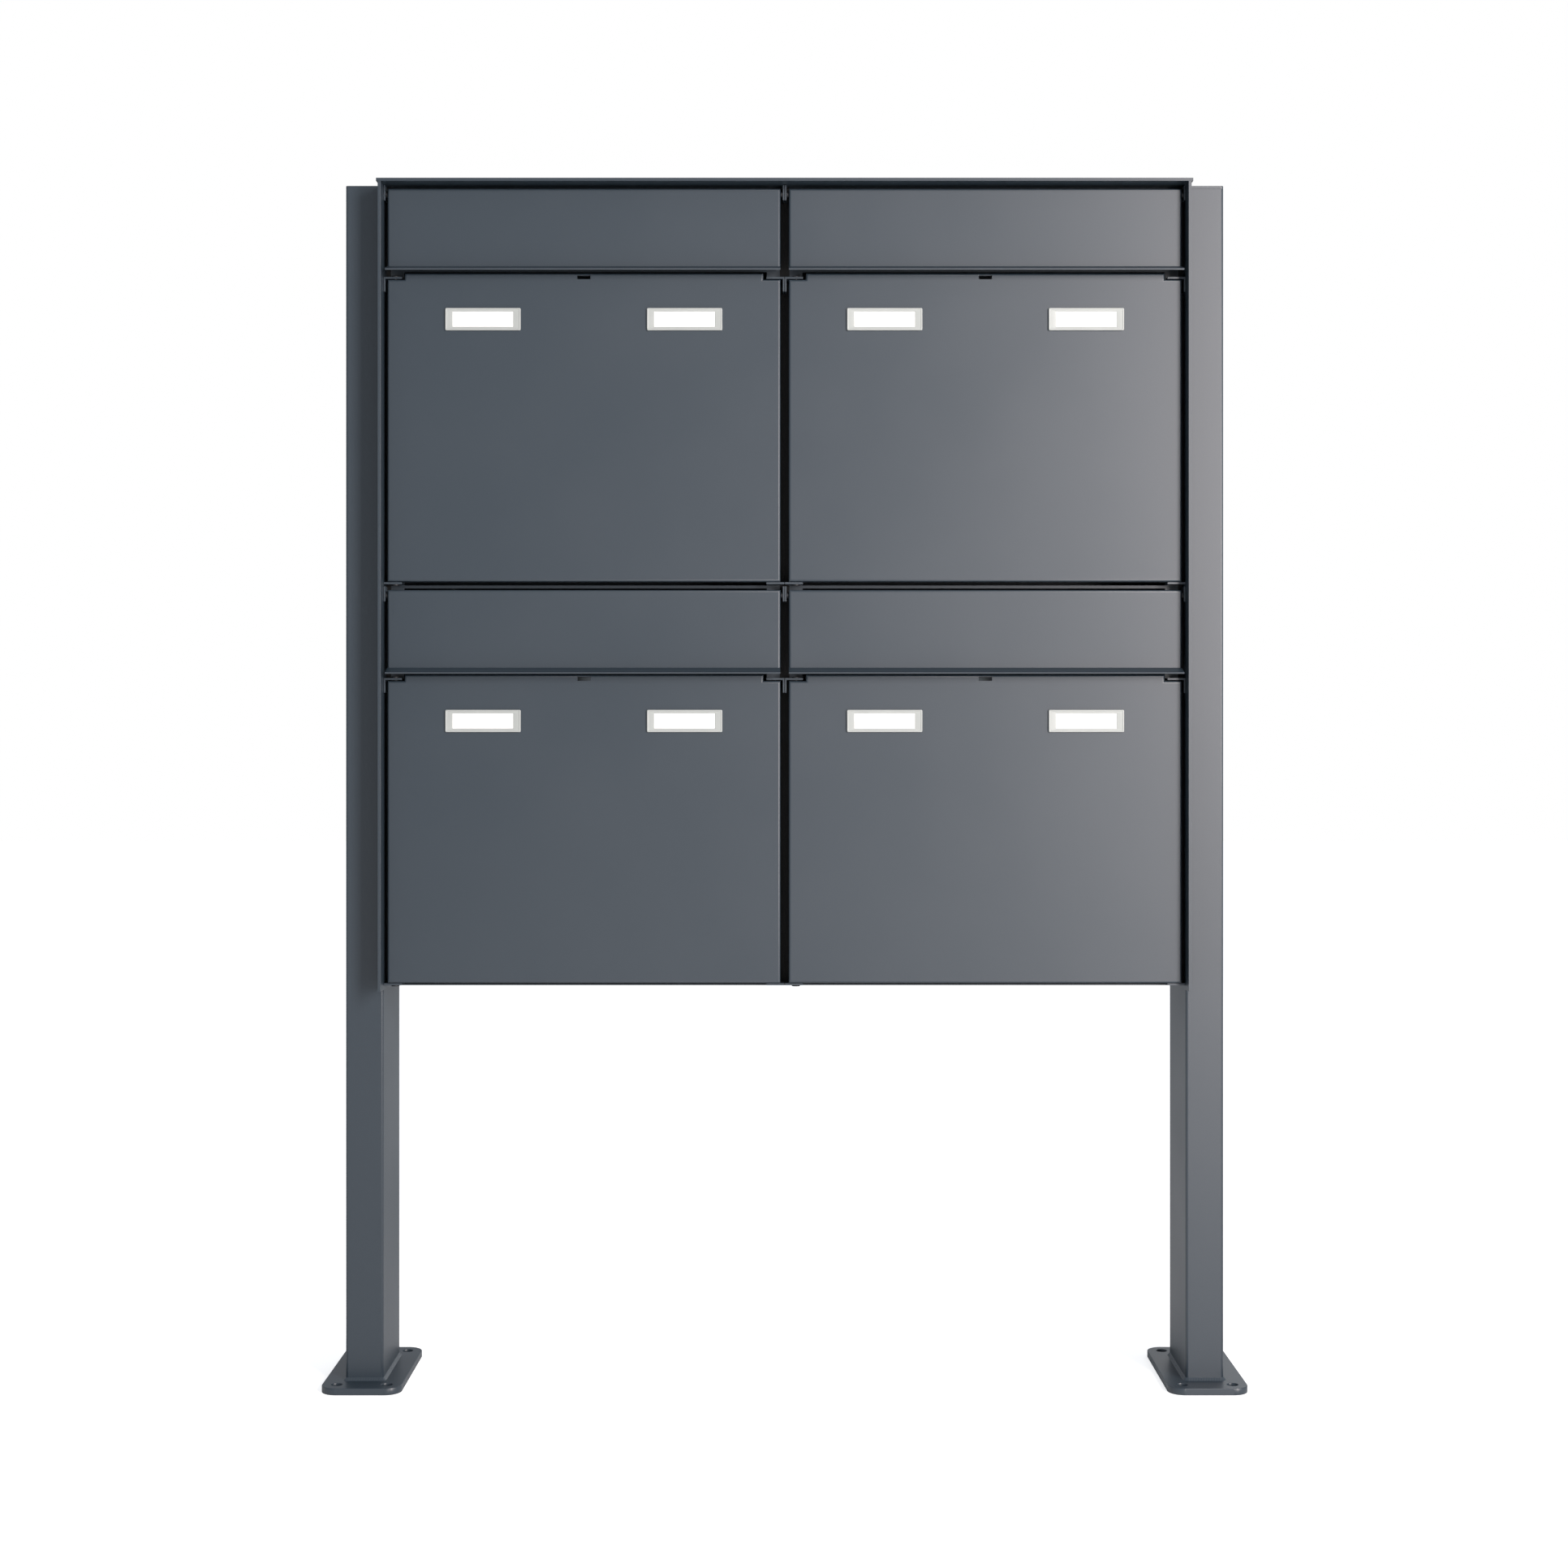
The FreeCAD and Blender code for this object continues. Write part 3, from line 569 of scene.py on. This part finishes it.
def screw_rings(head_mm, head_height_mm, shank_mm, length_mm, drive, drive_depth_mm, pitch_mm):
    """Rings from the bottom of the drive, over the head and down the threaded shank."""
    head = head_mm / 2
    dome = head_height_mm * dome_share
    rings = [(drive_depth_mm + drive_tip_mm, circle(drive_point_mm)),
             (drive_depth_mm, lambda angle: drive(angle) * drive_taper),
             (drive_lip_mm, drive), (0.0, lambda angle: drive(angle) + drive_lip_mm)]
    for step in range(1, dome_steps + 1):
        turn = step / dome_steps * math.pi / 2
        radius = head * (dome_top_share + (1 - dome_top_share) * math.sin(turn))
        rings.append((dome * (1 - math.cos(turn)), circle(radius)))
    rings += [(head_height_mm - head_edge_mm, circle(head)),
              (head_height_mm, circle(head - head_edge_mm)), (head_height_mm, circle(shank_mm / 2))]
    depth = thread_depth_share * pitch_mm
    height = head_height_mm + pitch_mm
    while height < length_mm - pitch_mm:
        rings += [(height, circle(shank_mm / 2)),
                  (height + pitch_mm / 2, circle(shank_mm / 2 - depth))]
        height += pitch_mm
    rings += [(length_mm - pitch_mm / 2, circle(shank_mm / 2 - depth / 2)),
              (length_mm, circle(shank_mm / 2 - depth))]
    return rings


pan_head = dict(head_mm=9.6, head_height_mm=2.8, shank_mm=5, drive=cross(5.2, 1.1),
                drive_depth_mm=1.7, pitch_mm=0.8)
screw_kinds = {
    "panel_bolts": dict(head_mm=11, head_height_mm=3.3, shank_mm=6, drive=hexagon(4),
                        drive_depth_mm=2.0, pitch_mm=1.0),
    "case_screws": pan_head,
    "roof_screws": pan_head,
}
for kind, sizes in screw_kinds.items():
    shape = bmesh.new()
    for points in solids_in(kind):
        top, direction, length_mm = line_of(points)
        stack_rings(shape, facing(top, direction), screw_rings(length_mm=length_mm, **sizes))
    finish_piece("threaded_" + kind, shape, zinc_plate, "frame", [kind])

# %% Build the nuts
nut_across_mm = 8
nut_bore_mm = 5.1
nut_corner_share = 0.565
nut_chamfer_mm = 0.35
bore_chamfer_mm = 0.4


def nut_rings(height_mm):
    """Rings round a chamfered hexagon nut, from its bore over its flats and back."""
    flats = hexagon(nut_across_mm, nut_across_mm * nut_corner_share)
    chamfer = hexagon(nut_across_mm, nut_across_mm / 2)
    bore = circle(nut_bore_mm / 2)
    mouth = circle(nut_bore_mm / 2 + bore_chamfer_mm)
    return [(bore_chamfer_mm, bore), (0.0, mouth), (0.0, chamfer), (nut_chamfer_mm, flats),
            (height_mm - nut_chamfer_mm, flats), (height_mm, chamfer), (height_mm, mouth),
            (height_mm - bore_chamfer_mm, bore)]


shape = bmesh.new()
for points in solids_in("case_nuts"):
    low, high = corners_of(points)
    sides = high - low
    axis = min(range(3), key=lambda k: sides[k])
    foot = (low + high) / 2
    foot[axis] = low[axis]
    along = Vector([float(k == axis) for k in range(3)])
    stack_rings(shape, facing(foot, along), nut_rings(sides[axis] / mm), closed=True)
piece = finish_piece("chamfered_case_nuts", shape, zinc_plate, "frame", ["case_nuts"])

# %% [markdown]
# ## Weld beads
#
# A fillet weld joins each post to its foot plate. The welder's puddle freezes in steps, which
# leaves a row of fine scales like fallen coins, and the powder coat softens them. A cross-section
# is swept round the post's foot. Its size swings with the distance along the seam, and the middle
# of each scale lags behind its edges, which gives the curved ripple of a real bead.

# %% Sweep the weld beads
weld_leg_mm = 2.8
scale_pitch_mm = 2.6
scale_height = 0.16
scale_lag = 0.35
scale_sharpness = 0.7
bead_hollow = 0.22
seam_step_mm = 0.5
bead_steps = 6
post_corner_mm = 2.5


def seam_round(low, high, corner):
    """Points and outward directions of a level rounded rectangle, evenly spaced."""
    centres = [(high.x - corner, high.y - corner), (low.x + corner, high.y - corner),
               (low.x + corner, low.y + corner), (high.x - corner, low.y + corner)]
    seam = []
    for quarter, (x, y) in enumerate(centres):
        turns = max(4, round(corner * math.pi / 2 / (seam_step_mm * mm)))
        for k in range(turns + 1):
            angle = math.pi / 2 * (quarter + k / turns)
            out = Vector((math.cos(angle), math.sin(angle), 0))
            seam.append((Vector((x, y, 0)) + out * corner, out))
        next_x, next_y = centres[(quarter + 1) % 4]
        start = seam[-1][0]
        end = Vector((next_x, next_y, 0)) + seam[-1][1] * corner
        steps = round((end - start).length / (seam_step_mm * mm))
        seam += [(start.lerp(end, k / steps), seam[-1][1]) for k in range(1, steps)]
    return seam


def bead_section(point, out, distance_mm, ground):
    """Cross-section of the bead at a place on the seam, from its root round its face."""
    section = [Vector((point.x, point.y, ground))]
    for k in range(bead_steps + 1):
        share = k / bead_steps
        lag = scale_lag * (2 * share - 1) ** 2
        phase = (distance_mm / scale_pitch_mm + lag) % 1
        swell = 1 - scale_height * math.sin(math.pi * phase) ** scale_sharpness
        angle = share * math.pi / 2
        bulge = 1 - bead_hollow * math.sin(2 * angle)
        reach = weld_leg_mm * mm * bulge * (swell if 0 < k < bead_steps else 1)
        section.append(Vector((point.x, point.y, ground))
                       + out * reach * math.cos(angle) + Vector((0, 0, reach * math.sin(angle))))
    return section


shape = bmesh.new()
for side in ("left", "right"):
    low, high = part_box(f"post_{side}")
    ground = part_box(f"foot_plate_{side}")[1].z
    loops, distance = [], 0.0
    seam = seam_round(low, high, post_corner_mm * mm)
    for k, (point, out) in enumerate(seam):
        distance += (point - seam[k - 1][0]).length / mm if k else 0
        loops.append(bead_section(point, out, distance, ground))
    skin_loops(shape, loops, closed=True)
    print("seam", side, round(distance), "mm")
piece = finish_piece("rippled_weld_beads", shape, powder_coat, "frame", ["weld_beads"])

# %% [markdown]
# ## Name holders
#
# Each door carries two holders, moulded in light grey polystyrene and bonded to the sheet. A
# raised rim runs round a slightly lower face, and the face falls off in a chamfer to the window.
# The whole holder is one closed skin over rounded rectangles: up the outside, over the rim, down
# to the window and back behind the face, where the card's pocket is. The rim's soft corners catch
# the light, which a plain block wouldn't do.

# %% Moulded polystyrene
polystyrene, place = start_material("light_grey_polystyrene")
mould_grain_mm = 0.5
mould_flow_mm = 18
grain = add(polystyrene, "ShaderNodeTexNoise",
            {"Vector": (place, "Object"), "Scale": per_metre(mould_grain_mm), "Detail": 2.0})
flow = add(polystyrene, "ShaderNodeTexNoise",
           {"Vector": (place, "Object"), "Scale": per_metre(mould_flow_mm), "Detail": 1.0})
tone = add(polystyrene, "ShaderNodeMixRGB",
           {"Fac": (flow, "Fac"), "Color1": linear("#AEB3B0"), "Color2": linear("#B5BAB7")})
skin = add(polystyrene, "ShaderNodeBump", {"Height": (grain, "Fac"), "Distance": 0.004 * mm})
finish_material(polystyrene, {"Base Color": (tone, "Color"), "Roughness": 0.32, "IOR": 1.59,
                              "Normal": (skin, "Normal")})

# %% Build the name holders
holder_corner_mm = 1.2
border_x_mm = 7.35
border_z_mm = 3.6
rim_mm = 1.3
rim_drop_mm = 0.45
window_chamfer_mm = 0.5
card_depth_mm = 1.5
pocket_margin_mm = 2.5
outer_round_mm = 0.55
rim_round_mm = 0.2
rim_foot_mm = 0.05
rim_corner_mm = 0.5
window_corner_mm = 0.3
least_corner_mm = 0.05
corner_points = 6
outer_steps = 4


def rounded_rectangle(centre, width_mm, height_mm, corner_mm, proud_mm):
    """Points of a rounded rectangle that stands proud of the door by so many millimetres."""
    corner = max(corner_mm, least_corner_mm)
    half_x = width_mm / 2 - corner
    half_z = height_mm / 2 - corner
    points = []
    centres = [(half_x, half_z), (-half_x, half_z), (-half_x, -half_z), (half_x, -half_z)]
    for quarter, (x, z) in enumerate(centres):
        for k in range(corner_points):
            angle = math.pi / 2 * (quarter + k / (corner_points - 1))
            offset = Vector((x + corner * math.cos(angle), -proud_mm, z + corner * math.sin(angle)))
            points.append(centre + offset * mm)
    return points


def holder_loops(centre, width_mm, height_mm, depth_mm):
    """Loops round a holder's section: up from the door, over the rim, back behind the window."""
    outer = partial(rounded_rectangle, centre)
    loops = [outer(width_mm, height_mm, holder_corner_mm, 0)]
    for k in range(outer_steps + 1):
        turn = k / outer_steps * math.pi / 2
        inset = outer_round_mm * (1 - math.cos(turn))
        proud = depth_mm - outer_round_mm * (1 - math.sin(turn))
        loops.append(outer(width_mm - 2 * inset, height_mm - 2 * inset,
                           holder_corner_mm - inset / 2, proud))
    face_mm = depth_mm - rim_drop_mm
    soft = rim_round_mm / 2
    for inset, proud in ((rim_mm - rim_round_mm, depth_mm), (rim_mm, depth_mm - soft),
                         (rim_mm + rim_round_mm + rim_foot_mm, face_mm + soft),
                         (rim_mm + 2 * rim_round_mm, face_mm)):
        loops.append(outer(width_mm - 2 * inset, height_mm - 2 * inset, rim_corner_mm, proud))
    window_x = width_mm - 2 * border_x_mm
    window_z = height_mm - 2 * border_z_mm
    for grow, proud in ((window_chamfer_mm, face_mm), (0, face_mm - window_chamfer_mm),
                        (0, card_depth_mm), (pocket_margin_mm, card_depth_mm),
                        (pocket_margin_mm, 0)):
        loops.append(outer(window_x + 2 * grow, window_z + 2 * grow, window_corner_mm, proud))
    return loops


places = [f"{row}_{column}" for row in ("lower", "upper") for column in ("left", "right")]
for spot in places:
    shape = bmesh.new()
    for points in solids_in(f"name_holders_{spot}"):
        low, high = corners_of(points)
        sides = (high - low) / mm
        centre = Vector(((low.x + high.x) / 2, high.y, (low.z + high.z) / 2))
        skin_loops(shape, holder_loops(centre, sides.x, sides.z, sides.y), closed=True)
    piece = finish_piece(f"moulded_name_holders_{spot}", shape, polystyrene, f"door_{spot}",
                         [f"name_holders_{spot}"], smooth_angle=50)

# %% [markdown]
# ## Windows and cards
#
# A clear acrylic sheet, half a millimetre thick, snaps in over the blank card. A shader that bends
# light could make it, but that would dim the card, and so thin a pane bends light only at its
# edges. It is mostly see-through by its alpha instead, and only its sheen shows. The card is
# uncoated paper board: matt, with short fibres that are too fine to see here, so they are drawn at
# half a millimetre.

# %% Clear acrylic windows
acrylic, place = start_material("clear_acrylic")
wave_mm = 25
wave = add(acrylic, "ShaderNodeTexNoise",
           {"Vector": (place, "Object"), "Scale": per_metre(wave_mm)})
gloss = add(acrylic, "ShaderNodeMapRange", {"Value": (wave, "Fac"), "To Min": 0.10, "To Max": 0.16})
finish_material(acrylic, {"Base Color": linear("#FCFEFF"), "Roughness": (gloss, "Result"),
                          "IOR": 1.49, "Alpha": 0.12})
pane_mm = 0.5
pane_gap_mm = 0.05
pane_chamfer_mm = 0.1
pane_corner_mm = 0.25
pane_front_corner_mm = 0.2

for spot in places:
    shape = bmesh.new()
    for points in solids_in(f"name_holders_{spot}"):
        low, high = corners_of(points)
        centre = Vector(((low.x + high.x) / 2, high.y, (low.z + high.z) / 2))
        width_mm = (high.x - low.x) / mm - 2 * (border_x_mm + pane_gap_mm)
        height_mm = (high.z - low.z) / mm - 2 * (border_z_mm + pane_gap_mm)
        back = card_depth_mm + pane_gap_mm
        pane = partial(rounded_rectangle, centre)
        small = 2 * pane_chamfer_mm
        loops = [pane(width_mm, height_mm, pane_corner_mm, back),
                 pane(width_mm, height_mm, pane_corner_mm, back + pane_mm - pane_chamfer_mm),
                 pane(width_mm - small, height_mm - small, pane_front_corner_mm, back + pane_mm)]
        skin_loops(shape, loops, closed=False)
    finish_piece(f"clear_windows_{spot}", shape, acrylic, f"door_{spot}")

# %% White card
card_paper, place = start_material("white_card")
fibre_mm = 0.5
fibre = add(card_paper, "ShaderNodeTexNoise",
            {"Vector": (place, "Object"), "Scale": per_metre(fibre_mm), "Detail": 3.0})
tone = add(card_paper, "ShaderNodeMixRGB",
           {"Fac": (fibre, "Fac"), "Color1": linear("#FBFBF9"), "Color2": linear("#FFFFFE")})
skin = add(card_paper, "ShaderNodeBump", {"Height": (fibre, "Fac"), "Distance": 0.01 * mm})
finish_material(card_paper, {"Base Color": (tone, "Color"), "Roughness": 0.9,
                             "Normal": (skin, "Normal")})
dress(["name_cards"], card_paper)

# %% [markdown]
# ## Locks and rubber stops
#
# Behind each flap sits the lock of the door below: a zinc die casting with a bright nickel plate,
# which mirrors the room with a faint warm tint. The flap and the door close against black EPDM
# rubber stops, matt and slightly dusty from the mould's powder.

# %% Nickel plate and rubber
nickel, place = start_material("nickel_plated_die_casting")
turning_mm = 1.2
turning = add(nickel, "ShaderNodeTexNoise",
              {"Vector": (place, "Object"), "Scale": per_metre(turning_mm), "Detail": 4.0})
gloss = add(nickel, "ShaderNodeMapRange",
            {"Value": (turning, "Fac"), "To Min": 0.10, "To Max": 0.22})
skin = add(nickel, "ShaderNodeBump", {"Height": (turning, "Fac"), "Distance": 0.004 * mm})
finish_material(nickel, {"Base Color": linear("#CFCBC2"), "Metallic": 1.0,
                         "Roughness": (gloss, "Result"), "Normal": (skin, "Normal")})
dress(["lock_case", "lock_plug"], nickel)

rubber, place = start_material("black_epdm_rubber")
bloom_mm = 3
pore_mm = 0.6
bloom = add(rubber, "ShaderNodeTexNoise",
            {"Vector": (place, "Object"), "Scale": per_metre(bloom_mm), "Detail": 3.0})
pore = add(rubber, "ShaderNodeTexNoise", {"Vector": (place, "Object"), "Scale": per_metre(pore_mm)})
tone = add(rubber, "ShaderNodeMixRGB",
           {"Fac": (bloom, "Fac"), "Color1": linear("#161617"), "Color2": linear("#242425")})
skin = add(rubber, "ShaderNodeBump", {"Height": (pore, "Fac"), "Distance": 0.02 * mm})
finish_material(rubber, {"Base Color": (tone, "Color"), "Roughness": 0.82,
                         "Normal": (skin, "Normal")})
dress(["rubber_bumpers"], rubber)
